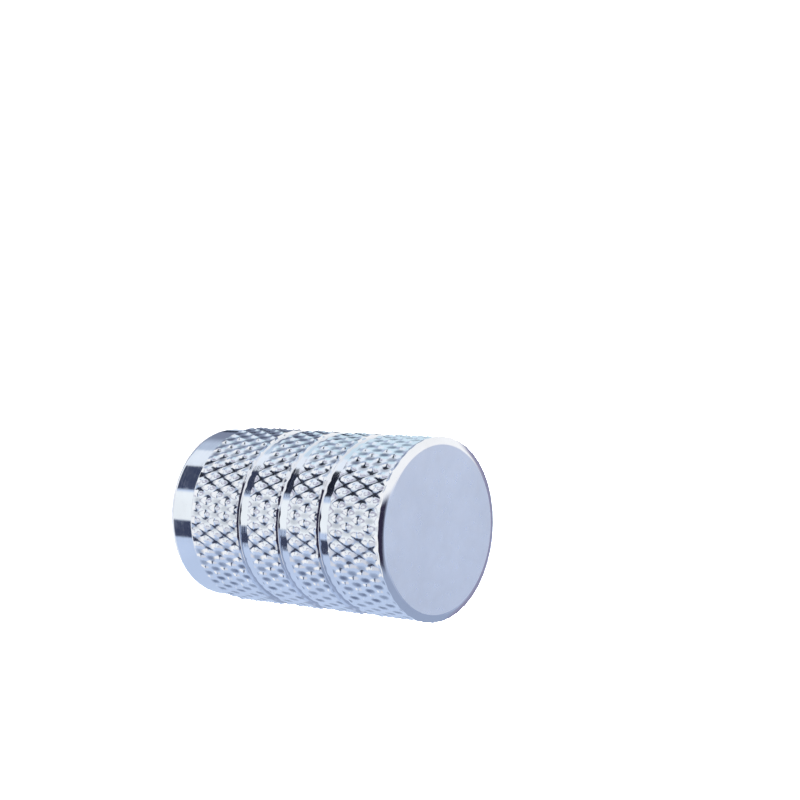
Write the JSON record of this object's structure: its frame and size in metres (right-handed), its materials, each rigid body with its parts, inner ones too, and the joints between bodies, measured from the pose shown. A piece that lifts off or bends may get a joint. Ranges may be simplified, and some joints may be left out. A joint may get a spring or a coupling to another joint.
{
  "type": "tyre valve cap",
  "caption": "Knurled cylindrical screw cap for a tyre valve stem: flat closed end, turned grooves, plain collar at the mouth, threaded blind bore with a rubber washer.",
  "frame": {"origin": "centre of the cap's open mouth, on the plane that its rim stands on", "axes": "+Z along the cap's axis, from the mouth to the closed end"},
  "size_m": [0.01, 0.01, 0.0155],
  "materials": {
    "cap_metal": "bright turned and knurled aluminium, satin on the closed end",
    "seal_rubber": "matt black rubber"
  },
  "bodies": {
    "root": {"cap_body": "cap_metal", "seal_washer": "seal_rubber"}
  },
  "joints": []
}
